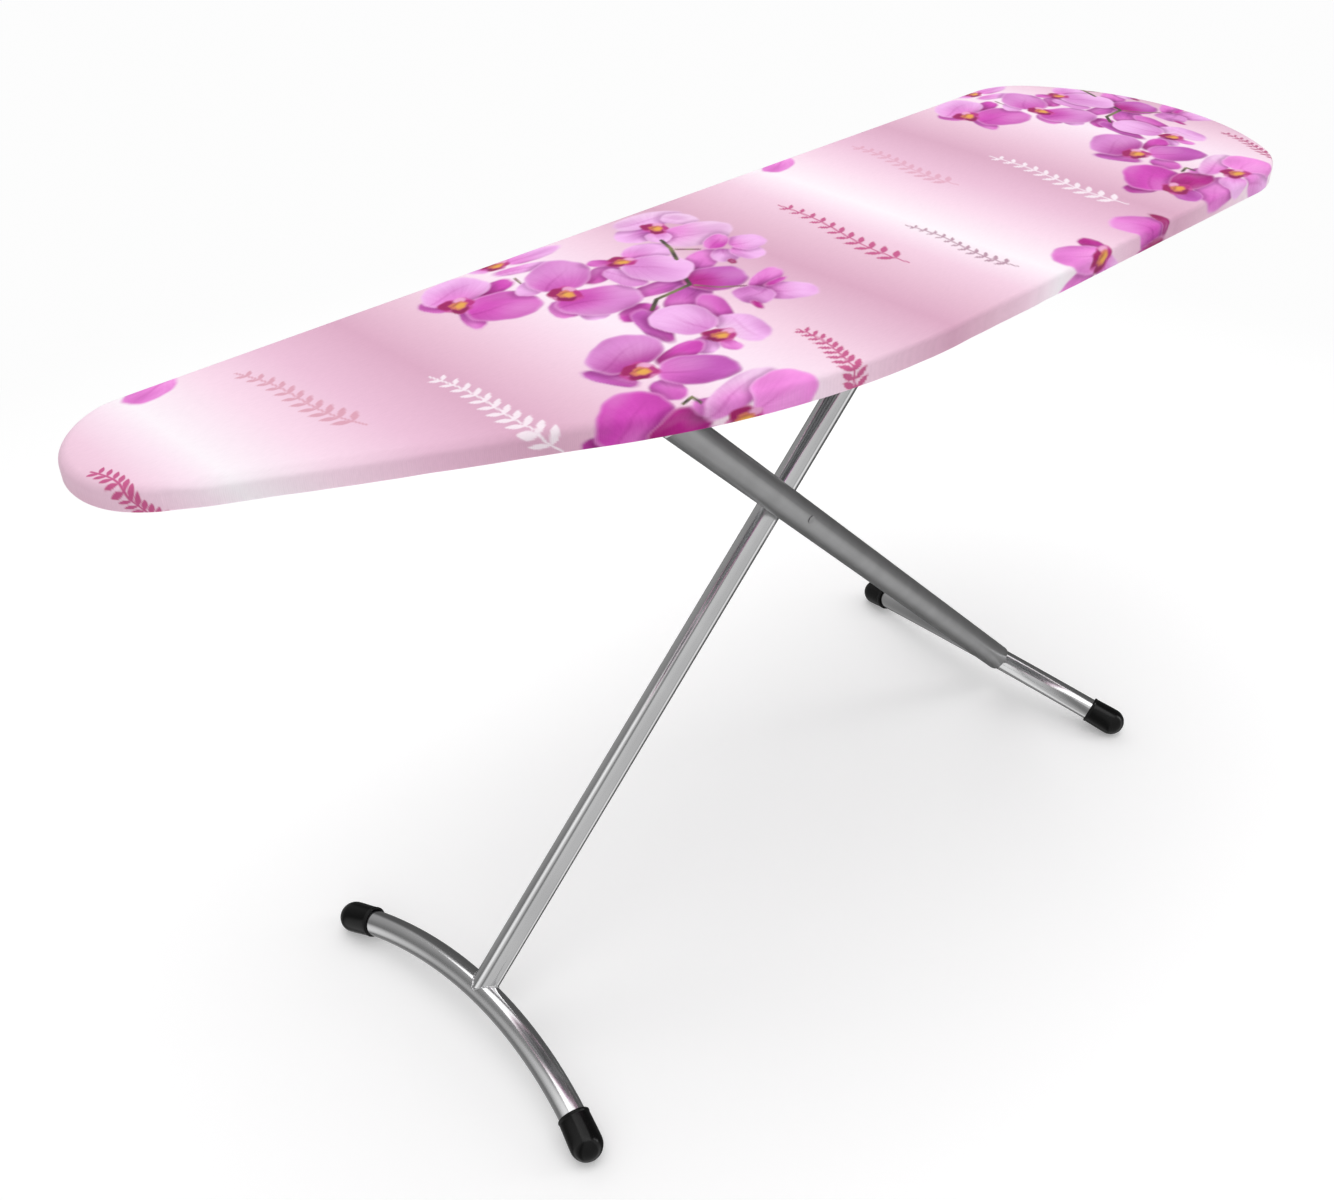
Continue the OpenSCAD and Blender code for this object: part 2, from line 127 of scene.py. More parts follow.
def face_grid(stations, across, around, inset):
    """A grid over the whole board: points (N, 2), quads, triangles, and the edge's vertex numbers
    with its outline points and normals, anticlockwise."""
    near, heel, far, nose = four_sides(stations, around)
    a, b = near[0] - inset * near[1], (far[0] - inset * far[1])[::-1]
    t = np.linspace(0, 1, across + 1)[None, :, None]
    grid = (a[:, None] * (1 - t) + b[:, None] * t).reshape(-1, 2)
    index = np.arange(len(grid)).reshape(stations + 1, across + 1)
    quads = [np.stack([index[:-1, :-1], index[1:, :-1], index[1:, 1:], index[:-1, 1:]], -1).reshape(-1, 4)]
    points, triangles, rims, half, count = [grid], [], [], across // 2, len(grid)
    for run, row, low_first in ((heel, index[-1], True), (nose, index[0], False)):
        ends = run[0] - inset * run[1]
        centre = grid[row[half]]
        r = (np.arange(1, half + 1) / half)[None, :, None]
        fan = centre + (ends[1:-1, None] - centre) * r
        numbers = count + np.arange(fan.shape[0] * half).reshape(fan.shape[0], half)
        count += numbers.size
        points.append(fan.reshape(-1, 2))
        first, last = row[half - 1::-1], row[half + 1:]
        if not low_first:
            first, last = last, first
        numbers = np.concatenate([first[None, :half], numbers, last[None, :half]])
        quads.append(np.stack([numbers[:-1, :-1], numbers[:-1, 1:], numbers[1:, 1:], numbers[1:, :-1]],
                              -1).reshape(-1, 4))
        triangles.append(np.stack([np.full(len(numbers) - 1, row[half]), numbers[:-1, 0], numbers[1:, 0]], 1))
        rims.append(numbers[1:-1, -1])
    edge = np.concatenate([index[:, 0], rims[0], index[::-1, -1], rims[1]])
    line = np.concatenate([near[0], heel[0][1:-1], far[0], nose[0][1:-1]])
    normal = np.concatenate([near[1], heel[1][1:-1], far[1], nose[1][1:-1]])
    return np.concatenate(points), np.concatenate(quads), np.concatenate(triangles), edge, line, normal


def ring_quads(upper, lower):
    """Quads between two closed loops of vertex numbers, facing outwards."""
    return np.stack([upper, lower, np.roll(lower, -1), np.roll(upper, -1)], 1)


def make_mesh(name, points, quads, triangles=None, smooth=True):
    """A mesh object from arrays in millimetres."""
    triangles = np.zeros((0, 3), int) if triangles is None else triangles
    mesh = bpy.data.meshes.new(name)
    mesh.vertices.add(len(points))
    mesh.vertices.foreach_set("co", (np.asarray(points, float) * MM).ravel())
    mesh.loops.add(quads.size + triangles.size)
    corners = np.concatenate([quads.ravel(), triangles.ravel()])
    mesh.loops.foreach_set("vertex_index", corners.astype(np.int32))
    starts = np.concatenate([np.arange(len(quads)) * 4, quads.size + np.arange(len(triangles)) * 3])
    mesh.polygons.add(len(starts))
    mesh.polygons.foreach_set("loop_start", starts.astype(np.int32))
    mesh.polygons.foreach_set("use_smooth", np.full(len(starts), smooth))
    mesh.update(calc_edges=True)
    mesh.validate()
    obj = bpy.data.objects.new(name, mesh)
    bpy.context.scene.collection.objects.link(obj)
    return obj


# ---------------------------------------------------------------- the printed cloth
def linear(rgb):
    """A screen colour of 0 to 255 as linear light."""
    c = np.asarray(rgb, float) / 255
    return np.where(c <= 0.04045, c / 12.92, ((c + 0.055) / 1.055) ** 2.4)


def mix(a, b, t):
    """From colour a to colour b, with t for each point."""
    return a + (b - a) * np.clip(t, 0, 1)[..., None]


def step_between(low, high, x):
    """0 at low and 1 at high, smooth between them; low may be the greater."""
    t = np.clip((x - low) / (high - low), 0, 1)
    return t * t * (3 - 2 * t)


PERIOD = 692  # the print repeats along the cloth
PRINT_LEAN = 0.014  # the print's slant along the board for each millimetre across it
PRINT_SHIFT, PRINT_WIDTH = 6.5, 0.967  # the print's place and scale across the board
HEEL_START, HEEL_BLEND, HEEL_DRAW = 481, 20, 0.19  # the cloth is drawn in from here to the heel
# The ground's bands along the print: place and colour.
BANDS = [(-540, (255, 247, 253)), (-480, (252, 221, 238)), (-420, (238, 194, 218)),
         (-352, (221, 171, 197)), (-300, (236, 194, 215)), (-250, (248, 215, 233)),
         (-195, (255, 237, 249)), (-150, (253, 229, 244)), (-100, (247, 213, 231)),
         (-50, (233, 191, 213)), (2, (220, 169, 195)), (50, (233, 190, 211)),
         (100, (246, 210, 229)), (130, (254, 232, 245)), (152, (255, 247, 253))]
ORCHID, ROSE, DEEP = (222, 106, 202), (238, 134, 220), (192, 26, 148)
PALE, LILAC, VIOLET = (248, 188, 244), (224, 140, 214), (200, 90, 188)
CERISE, BLUSH, PURPLE = (216, 72, 190), (246, 206, 240), (186, 56, 160)
PINK, WINE = (251, 150, 232), (164, 20, 100)
STEM, TWIG = (74, 66, 58), (140, 84, 110)

# A petal is (x, y, half length, half width, turn in degrees, colour at its base, colour at its tip).
# A flower is its throat (x, y), the petals from back to front, and its lip.
BEHIND = [
    ((-92, 44), [(-118, 56, 32, 12, 172, VIOLET, ORCHID), (-54, 71, 30, 15, 28, VIOLET, ROSE),
                 (-113, 24, 33, 18, 205, VIOLET, ORCHID), (-163, 32, 21, 13, 190, VIOLET, CERISE),
                 (-69, 36, 29, 25, -20, DEEP, VIOLET)], None),
]
FLOWERS = [
    ((-186, 193), [(-150, 190, 30, 11, -2, ROSE, PALE), (-176, 172, 27, 8, -12, ROSE, PALE),
                   (-206, 202, 16, 10, 120, ROSE, PALE)], (-188, 194, 14, 9, 0)),
    ((-259, 148), [(-279, 160, 15, 9, 112, PURPLE, ORCHID), (-267, 122, 23, 10, 250, VIOLET, ORCHID),
                   (-221, 156, 25, 11, 10, DEEP, CERISE), (-247, 174, 33, 24, 10, ROSE, PALE),
                   (-235, 122, 33, 28, -15, CERISE, ORCHID)], (-262, 150, 15, 14, 20)),
    ((-183, 103), [(-196, 134, 12, 17, 120, ROSE, PALE), (-203, 80, 18, 13, 250, LILAC, ROSE),
                   (-134, 113, 23, 12, 18, DEEP, ORCHID), (-190, 57, 14, 13, 260, LILAC, PALE),
                   (-163, 137, 34, 28, 35, ORCHID, LILAC), (-170, 73, 38, 28, -20, CERISE, LILAC)],
     (-183, 103, 13, 16, 0)),
    ((-103, 119), [(-120, 132, 12, 8, 140, DEEP, ORCHID), (-124, 92, 24, 13, 95, PALE, LILAC),
                   (-74, 120, 23, 21, 5, ROSE, PALE), (-90, 87, 32, 28, -60, LILAC, PALE)],
     (-104, 121, 13, 11, -30)),
    ((-30, 155), [(-55, 158, 19, 18, 170, VIOLET, PALE), (-22, 177, 36, 17, -12, PALE, BLUSH),
                  (2, 158, 18, 13, -60, PALE, BLUSH), (-12, 121, 37, 26, -12, ROSE, BLUSH),
                  (-42, 139, 12, 12, 250, ROSE, PALE)], (-30, 157, 11, 14, 0)),
    ((-14, 82), [(-28, 66, 15, 13, 230, LILAC, PALE), (-8, 57, 17, 14, 280, ROSE, PALE),
                 (8, 74, 18, 17, -10, ROSE, PALE), (-12, 94, 18, 11, 30, CERISE, ROSE),
                 (-33, 52, 6, 4, 70, DEEP, WINE)], None),
    ((-60, -5), [(-38, 5, 25, 12, 20, ORCHID, ROSE), (-42, -27, 25, 18, -40, ORCHID, PALE),
                 (-70, -12, 17, 19, 180, LILAC, LILAC), (-37, -6, 13, 4, 0, DEEP, CERISE),
                 (-82, -28, 9, 4, 75, WINE, DEEP)], None),
    ((-148, -42), [(-172, 4, 34, 12, 72, PURPLE, VIOLET), (-115, -12, 36, 14, 62, CERISE, ORCHID),
                   (-120, -50, 28, 19, 80, BLUSH, PALE), (-166, -52, 16, 12, 215, LILAC, PALE),
                   (-151, -66, 11, 8, 270, DEEP, ROSE), (-146, -5, 29, 27, 90, LILAC, PALE)],
     (-145, -47, 14, 12, -25)),
    ((-232, -52), [(-258, -42, 25, 10, 110, PURPLE, VIOLET), (-239, -87, 18, 14, 250, VIOLET, ORCHID),
                   (-189, -48, 27, 12, 8, DEEP, CERISE), (-222, -17, 37, 27, 15, PURPLE, LILAC),
                   (-199, -78, 33, 25, -30, ORCHID, VIOLET)], (-234, -49, 15, 14, 0)),
    ((-296, -128), [(-316, -108, 19, 13, 150, PURPLE, PURPLE), (-266, -162, 36, 22, 20, ORCHID, ROSE),
                    (-300, -150, 16, 14, 230, PURPLE, VIOLET), (-283, -98, 37, 29, 35, CERISE, CERISE),
                    (-261, -131, 28, 19, 0, (178, 8, 128), DEEP)], None),
    ((-212, -150), [(-190, -182, 32, 19, -20, ROSE, PALE), (-238, -166, 19, 15, 220, ROSE, PALE),
                    (-228, -125, 17, 8, 150, DEEP, ROSE), (-197, -124, 41, 15, 10, ROSE, BLUSH),
                    (-171, -148, 29, 27, 0, PINK, PINK)], (-211, -152, 16, 13, -15)),
    ((-478, -176), [(-514, -192, 28, 14, 190, ROSE, PINK), (-464, -192, 24, 14, -40, ROSE, PALE),
                    (-468, -153, 15, 10, 80, CERISE, DEEP), (-497, -162, 28, 23, 150, PINK, ROSE)],
     (-477, -175, 17, 11, 30)),
    ((-384, -190), [(-396, -166, 36, 23, 110, CERISE, ROSE), (-371, -168, 18, 6, 80, DEEP, WINE),
                    (-396, -192, 25, 8, 8, WINE, DEEP)], None),
    ((-500, 208), [(-518, 193, 25, 14, 200, PINK, ROSE)], None),
]
# The lips that lie past the near edge on the first repeat and inside it on the second.
HEEL_LIPS = [(400, -133, 15, 14, 20)]
# Stems: (x, y) points, width, colour.
STEMS = [
    ([(-88, 54), (-94, 42), (-112, 41), (-135, 40), (-152, 27)], 3.8, STEM),
    ([(-92, 38), (-80, 20), (-62, 6)], 2.4, TWIG),
]
TWIGS = [
    ([(-45, 132), (-52, 112), (-65, 90)], 3.8, STEM),
    ([(-50, 107), (-35, 92)], 2.6, TWIG),
    ([(-246, -111), (-234, -108), (-235, -118)], 3.0, STEM),
    ([(-193, 160), (-196, 148)], 2.0, TWIG),
]
# Leaf sprigs, plain fillers between the flowers: start, end, leaf length, colour.
SPRIGS = [((75, -62), (93, 116), 15, (196, 38, 122)), ((136, -136), (140, -4), 10, (176, 128, 152)),
          ((-343, -92), (-355, 60), 15, (255, 244, 251)), ((-432, 30), (-458, 172), 14, (222, 158, 178)),
          ((-110, -190), (-93, -84), 14, (196, 38, 122)), ((-596, 24), (-606, 110), 13, (196, 38, 122)),
          ((331, -122), (345, 55), 15, (255, 244, 251)), ((257, 26), (268, 176), 14, (228, 168, 192)),
          ((570, -178), (616, -76), 12, (186, 50, 118))]


CAST_SHADOW, PATCH_DARK, PATCH_PALE = (160, 70, 150), (222, 176, 216), (250, 206, 244)
VEIN, FOLD, RIM = (214, 140, 204), (214, 120, 200), (250, 216, 246)
LIT_SIDE, DARK_SIDE = (255, 236, 254), (150, 30, 126)
PETAL_SOFT, PETAL_POWER, SHADOW_WIDTH = 1.5, 2.2, 8


def petal_layer(colour, cover, p, base, petal):
    """Paints one petal over the colours, with veins from its base, a paler rim and a soft shadow."""
    x, y, long, wide, turn, base_rgb, tip_rgb = petal
    room = long + wide + SHADOW_WIDTH
    near = (np.abs(p[:, 0] - x) < room) & (np.abs(p[:, 1] - y) < room)
    i = np.flatnonzero(near)
    if not len(i):
        return
    q = p[i] - (x, y)
    c, s = math.cos(math.radians(turn)), math.sin(math.radians(turn))
    u, v = (q[:, 0] * c + q[:, 1] * s) / long, (q[:, 1] * c - q[:, 0] * s) / wide
    around = np.arctan2(v, u)
    wobble = 1 + 0.030 * np.sin(3 * around + x) + 0.022 * np.sin(5 * around + y) + 0.010 * np.sin(11 * around)
    r = (np.abs(u) ** PETAL_POWER + np.abs(v) ** PETAL_POWER) ** (1 / PETAL_POWER) / wobble
    size = min(long, wide)
    inside = step_between(1 + PETAL_SOFT / size, 1 - PETAL_SOFT / size, r)
    shadow = step_between(1.0 + SHADOW_WIDTH / size, 1.0, r) * (1 - inside) * cover[i]
    out = mix(colour[i], colour[i] * linear(CAST_SHADOW), 0.5 * shadow)
    reach = math.hypot(x - base[0], y - base[1]) + 0.8 * long
    away = p[i] - base
    far = np.hypot(away[:, 0], away[:, 1]) / reach
    angle = np.arctan2(away[:, 1], away[:, 0])
    tone = mix(linear(base_rgb), linear(tip_rgb), step_between(0.15, 0.85, far))
    patch = np.sin(2.1 * u + x) * np.sin(2.7 * v + y)
    tone = mix(tone, tone * linear(PATCH_DARK), np.maximum(patch, 0) * 0.5)
    tone = mix(tone, linear(PATCH_PALE), np.maximum(-patch, 0) * 0.16)
    veins = np.sin(angle * 41 + 2.2 * np.sin(far * 5 + x)) * np.sin(angle * 17 + y)
    veined = (0.14 + 0.14 * veins) * step_between(0.1, 0.45, far) * (1.2 - far)
    tone = mix(tone, tone * linear(VEIN), veined)
    fold = np.abs(v + 0.10 * np.sin(3 * u + x)) * wide
    tone = mix(tone, tone * linear(FOLD), 0.40 * step_between(2.6, 0.0, fold) * step_between(1.0, 0.2, far))
    tone = mix(tone, linear(RIM), 0.27 * step_between(0.86, 1.0, r))
    tone = mix(tone, linear(LIT_SIDE), 0.12 * step_between(0.35, 1.0, v) * step_between(1.0, 0.5, r))
    tone = mix(tone, linear(DARK_SIDE), 0.20 * step_between(-0.25, -1.0, v))
    colour[i] = mix(out, tone, inside)
    cover[i] = np.maximum(cover[i], inside)


# The throat's patches: place and half size along and across, in the lip's own, then colour and strength.
LIP_PATCHES = [
    (0.0, 0.0, 1.05, 1.02, (206, 70, 156), 0.80), (-0.18, 0.44, 0.72, 0.56, WINE, 1.0),
    (-0.30, -0.40, 0.62, 0.50, (150, 12, 92), 1.0), (0.52, -0.30, 0.42, 0.48, (188, 36, 128), 0.9),
    (0.62, 0.34, 0.40, 0.34, (244, 176, 218), 0.85), (0.05, -0.05, 0.56, 0.50, (222, 128, 96), 0.95),
    (0.10, -0.14, 0.34, 0.30, (238, 178, 76), 0.9), (0.02, 0.16, 0.30, 0.09, (150, 60, 52), 0.6),
]


def lip_layer(colour, cover, p, lip):
    """The throat: a wine-red lip of two lobes, a warm middle and a pale column."""
    x, y, long, wide, turn = lip
    i = np.flatnonzero((np.abs(p[:, 0] - x) < 3 * long) & (np.abs(p[:, 1] - y) < 3 * long))
    if not len(i):
        return
    c, s = math.cos(math.radians(turn)), math.sin(math.radians(turn))
    q = p[i] - (x, y)
    u, v = (q[:, 0] * c + q[:, 1] * s) / long, (q[:, 1] * c - q[:, 0] * s) / wide
    around = np.arctan2(v, u)
    ragged = 1 + 0.10 * np.sin(3 * around + x) + 0.06 * np.sin(7 * around + y)
    soft = 1.4 / wide
    out = colour[i]
    for du, dv, su, sv, rgb, strength in LIP_PATCHES:
        r = np.hypot((u - du) / su, (v - dv) / sv) / ragged
        out = mix(out, linear(rgb), strength * step_between(1 + soft / sv, 1 - soft / sv, r))
    colour[i] = out
    cover[i] = np.maximum(cover[i], step_between(1.2, 0.9, np.hypot(u, v)))


def line_distance(p, points):
    """Each point's distance from a bent line, and how far along it the nearest place is, 0 to 1."""
    points = np.asarray(points, float)
    lengths = np.linalg.norm(np.diff(points, axis=0), axis=1)
    best, along = np.full(len(p), 1e9), np.zeros(len(p))
    for k, (a, b) in enumerate(zip(points[:-1], points[1:])):
        t = np.clip((p - a) @ (b - a) / lengths[k] ** 2, 0, 1)
        d = np.linalg.norm(p - a - t[:, None] * (b - a), axis=1)
        closer = d < best
        best = np.where(closer, d, best)
        along = np.where(closer, (lengths[:k].sum() + t * lengths[k]) / lengths.sum(), along)
    return best, along


STEM_LIGHT = (142, 142, 92)
BESIDE = 8  # how far round a stem its paint is worked out


def stem_layer(colour, p, stem):
    """A bent stem with lighter stretches."""
    points, wide, rgb = stem
    box = np.array(points)
    i = np.flatnonzero(((p > box.min(0) - BESIDE) & (p < box.max(0) + BESIDE)).all(1))
    if len(i):
        d, along = line_distance(p[i], points)
        tone = mix(linear(rgb), linear(STEM_LIGHT), 0.4 + 0.4 * np.sin(9 * along + wide))
        colour[i] = mix(colour[i], tone, step_between(wide / 2 + 1, wide / 2 - 0.6, d))


LEAF_STEPS, STALK_BEND = 12, 4


def sprig_layer(colour, p, sprig):
    """A gently bent stalk with pairs of pointed leaves, shorter towards its end."""
    a, b, leaf, rgb = np.array(sprig[0], float), np.array(sprig[1], float), sprig[2], sprig[3]
    way = (b - a) / np.linalg.norm(b - a)
    side = np.array([-way[1], way[0]])
    steps = np.linspace(0, 1, LEAF_STEPS + 1)
    stalk = a + steps[:, None] * (b - a) + (STALK_BEND * np.sin(steps * 2 * math.pi))[:, None] * side
    i = np.flatnonzero(((p > stalk.min(0) - 1.6 * leaf) & (p < stalk.max(0) + 1.6 * leaf)).all(1))
    if not len(i):
        return
    d, _ = line_distance(p[i], stalk)
    mask = step_between(1.5, 0.4, d)
    for k in range(1, LEAF_STEPS):
        for hand in (-1, 1):
            lean = way * 0.62 + side * hand * 0.78
            across = np.array([-lean[1], lean[0]])
            length = leaf * (1.0 - 0.45 * k / LEAF_STEPS)
            q = p[i] - (stalk[k] + lean * length * 0.62)
            u, v = q @ lean / (length * 0.58), q @ across / (length * 0.24)
            r = np.abs(u) ** 1.5 + np.abs(v) ** 1.3
            mask = np.maximum(mask, step_between(1.25, 0.8, r))
    colour[i] = mix(colour[i], linear(rgb), 0.86 * mask)


def flower(colour, cover, p, one):
    """One flower: its petals from back to front, then its throat."""
    base, petals, lip = one
    for petal in petals:
        petal_layer(colour, cover, p, np.array(base, float), petal)
    if lip:
        lip_layer(colour, cover, p, lip)


def paint(p):
    """The cloth's linear colour at flat places p, in millimetres; the print sits a little askew and is
    drawn in round the heel."""
    past = p[:, 0] - HEEL_START
    x = p[:, 0] + PRINT_LEAN * p[:, 1] + HEEL_DRAW * (np.hypot(past, HEEL_BLEND) + past)
    p = np.column_stack([x, (p[:, 1] - PRINT_SHIFT) / PRINT_WIDTH])
    at = [b[0] for b in BANDS]
    x = (p[:, 0] - at[0]) % PERIOD + at[0]
    colour = np.stack([np.interp(x, at, [linear(b[1])[k] for b in BANDS]) for k in range(3)], 1)
    cover = np.zeros(len(p))
    for sprig in SPRIGS:
        sprig_layer(colour, p, sprig)
    for repeat in (-1, 0, 1):
        moved = p - (repeat * PERIOD, 0)
        for one in BEHIND:
            flower(colour, cover, moved, one)
        for stem in STEMS:
            stem_layer(colour, moved, stem)
        for one in FLOWERS:
            flower(colour, cover, moved, one)
        for twig in TWIGS:
            stem_layer(colour, moved, twig)
    for lip in HEEL_LIPS:
        lip_layer(colour, cover, p, lip)
    return np.clip(colour, 0, 1)


# ---------------------------------------------------------------- the cover and the pad
NOSE_R = 9.0  # the cover's rounding at the nose and on the near side next to it
NEAR_ROUND = 0.85  # how much of that rounding the near side has


def wave(x, seed):
    """Three sines of unlike periods, about -1 to 1."""
    finer = 0.6 * np.sin(1.71 * x + 2.3 * seed) + 0.4 * np.sin(2.93 * x + 4.1 * seed)
    return (np.sin(x + seed) + finer) / 1.6


def edge_profile(high, low, top_r, low_r, side_steps, inset=None):
    """(out, z) down the edge from the top face, both corners rounded; the top face ends at inset."""
    first = 0.0 if inset is None else math.asin(1 - inset / top_r)
    a = np.linspace(first, math.pi / 2, 8)[1:]
    rows = [(-top_r + top_r * math.sin(t), high - top_r + top_r * math.cos(t)) for t in a]
    rows += [(0.0, z) for z in np.linspace(high - top_r, low + low_r, side_steps + 1)[1:]]
    b = np.linspace(0, math.pi / 2, 5)[1:]
    rows += [(-low_r + low_r * math.cos(t), low + low_r - low_r * math.sin(t)) for t in b]
    return rows


def round_nose(p):
    """1 round the nose, where the cover rolls over the edge in a bigger curve, a little less on the near
    side next to it, and 0 along the other edges."""
    away = p - np.array([NOSE_X + NOSE_FAR_R, FAR_Y - NOSE_FAR_R])
    tip = step_between(0.15, 0.80, -away[:, 0] / np.maximum(np.linalg.norm(away, axis=1), 1.0))
    return np.maximum(tip, NEAR_ROUND * near_side(p, -60, -260))


def near_side(p, last, full):
    """1 along the near side next to the nose, fading out between full and last."""
    fade = step_between(last, full, p[:, 0]) * step_between(NOSE_X + 20, NOSE_X + 70, p[:, 0])
    return fade * step_between(FAR_Y - NOSE_FAR_R, FAR_Y - 2 * NOSE_FAR_R, p[:, 1])


def nose_drop(p, inside):
    """How far the top falls near the nose's edge, for points this far inside the outline."""
    return (NOSE_R - np.sqrt(NOSE_R ** 2 - np.maximum(NOSE_R - inside, 0) ** 2)) * round_nose(p)


def board_cover():
    """One sheet: the top, the edge, the return under the rim and a rolled elastic hem."""
    top_r, low_r, back, hem = 4.2, 2.2, 27.5, 1.5  # the edge's two roundings, the return and its hem's radius
    top, under_z, bulge, gather_pitch = TOP_Z - 0.5, RETURN_Z + 0.4, 2.8, 15.5
    flat, quads, triangles, edge, line, normal = face_grid(640, 232, 250, top_r)
    inside = distance_in(flat)
    ripple = 0.12 * wave(flat[:, 0] / 55, 1) * wave(flat[:, 1] / 40, 2)
    rise = ripple - 0.5 * step_between(26, 0, inside) ** 2
    points = [np.column_stack([flat, TOP_Z + rise - nose_drop(flat, np.maximum(inside, top_r))])]
    cloth = [flat]
    sharp = edge_profile(top, under_z, top_r, low_r, 9)
    soft = edge_profile(top, under_z, NOSE_R, low_r, 9, top_r)
    rest = [(-x, under_z) for x in np.linspace(low_r, back, 15)[1:]]
    curl = np.linspace(0, 5.6, 11)[1:]
    rest += [(-back - hem * math.sin(t), under_z - hem + hem * math.cos(t)) for t in curl]
    along = np.r_[0, np.cumsum(np.linalg.norm(np.diff(line, axis=0), axis=1))]
    turn = 2 * math.pi * np.round(along[-1] / gather_pitch) / along[-1] * along
    gather = 0.5 + 0.5 * np.sin(turn + 1.4 * np.sin(turn / 7) + 0.8 * np.sin(turn / 3))
    pucker = wave(along / 16, 3) * (0.5 + 0.5 * np.sin(along / 90))
    nose, belly = round_nose(line), bulge * near_side(line, -300, -480)
    count, upper, run, last = len(flat), edge, 0.0, (-top_r, top)
    for a, b in zip(sharp + rest, soft + rest):
        run += math.hypot(a[0] - last[0], a[1] - last[1])
        last = a
        side = step_between(0, 8, run) * step_between(36, 22, run)
        under = step_between(3, back, -a[0]) if a[1] < RETURN_Z + 1 else 0.0
        shift = a[0] + (b[0] - a[0]) * nose - side * (0.25 + 0.35 * pucker)
        shift += belly * step_between(-top_r if a[1] > RETURN_Z + 5 else -back, 0, a[0])
        high = a[1] + (b[1] - a[1]) * nose - under * (0.4 + 2.2 * gather)
        points.append(np.column_stack([line + normal * shift[:, None], high]))
        cloth.append(line + normal * (run - top_r))
        lower = count + np.arange(len(line))
        count += len(line)
        quads = np.concatenate([quads, ring_quads(upper, lower)])
        upper = lower
    obj = make_mesh("board_cover", np.concatenate(points), quads, triangles)
    colours = paint(np.concatenate(cloth))
    attribute = obj.data.color_attributes.new("print", "FLOAT_COLOR", "POINT")
    attribute.data.foreach_set("color", np.column_stack([colours, np.ones(len(colours))]).ravel())
    return obj


def distance_in(p):
    """How far each flat point is inside the outline."""
    best = np.full(len(p), 1e9)
    line = np.concatenate([r[0] for r in four_sides(120, 70)])
    for start, step in zip(line, np.roll(line, -1, 0) - line):
        away = p - start
        t = np.clip(away @ step / max(step @ step, 1e-9), 0, 1)
        best = np.minimum(best, np.hypot(away[:, 0] - t * step[0], away[:, 1] - t * step[1]))
    return best


def board_pad():
    """The foam pad: a faintly waved top that falls at the nose, with soft edges, closed underneath."""
    low, high = PAD_LOW[2] / MM + 0.1, PAD_HIGH[2] / MM - 0.5
    inset, top_r, low_r = 2.0, 2.4, 1.6
    flat, quads, triangles, edge, line, normal = face_grid(150, 48, 70, inset + top_r)
    rise = 0.25 * wave(flat[:, 0] / 60, 4) * wave(flat[:, 1] / 45, 5) - 0.3
    points = [np.column_stack([flat, high + rise - nose_drop(flat, np.maximum(distance_in(flat), inset))])]
    count, upper = len(flat), edge
    for out, z in edge_profile(high, low, top_r, low_r, 2):
        drop = nose_drop(line, inset - out) * (z - low) / (high - low)
        points.append(np.column_stack([line + normal * (out - inset), z - drop]))
        lower = count + np.arange(len(line))
        count += len(line)
        quads = np.concatenate([quads, ring_quads(upper, lower)])
        upper = lower
    flat2, quads2, triangles2, edge2, _, _ = face_grid(150, 48, 70, inset + low_r)
    numbers = count + np.arange(len(flat2))
    numbers[edge2] = upper
    used = np.setdiff1d(np.arange(len(flat2)), edge2)
    numbers[used] = count + np.arange(len(used))
    points.append(np.column_stack([flat2[used], np.full(len(used), low)]))
    quads = np.concatenate([quads, numbers[quads2][:, ::-1]])
    triangles = np.concatenate([triangles, numbers[triangles2][:, ::-1]])
    return make_mesh("board_pad", np.concatenate(points), quads, triangles)


def inside_outline(p, inset):
    """True where a flat point lies inside the outline moved in by inset."""
    runs = four_sides(60, 60)
    ring = np.concatenate([r[0][:-1] - inset * r[1][:-1] for r in runs])
    a, b = ring, np.roll(ring, -1, 0)
    crosses = (a[:, 1] > p[:, None, 1]) != (b[:, 1] > p[:, None, 1])
    with np.errstate(divide="ignore", invalid="ignore"):
        at = a[:, 0] + (p[:, None, 1] - a[:, 1]) * (b[:, 0] - a[:, 0]) / (b[:, 1] - a[:, 1])
    return ((crosses & (p[:, None, 0] < at)).sum(1) % 2) == 1


def boxes(starts, ends, wide, low, high, tilt):
    """A flat, slightly tilted strand from each start to each end, as closed boxes."""
    way = ends - starts
    way /= np.linalg.norm(way, axis=1)[:, None]
    side = np.column_stack([-way[:, 1], way[:, 0]]) * wide / 2
    corners = []
    for p in (starts - way * 0.3, ends + way * 0.3):
        for s in (-1, 1):
            for z in (low, high):
                corners.append(np.column_stack([p + s * side, np.full(len(p), z + s * tilt)]))
    points = np.stack(corners, 1).reshape(-1, 3)
    faces = np.array([[0, 1, 3, 2], [4, 6, 7, 5], [0, 4, 5, 1], [2, 3, 7, 6], [1, 5, 7, 3], [0, 2, 6, 4]])
    return points, (faces[None] + 8 * np.arange(len(starts))[:, None, None]).reshape(-1, 4)


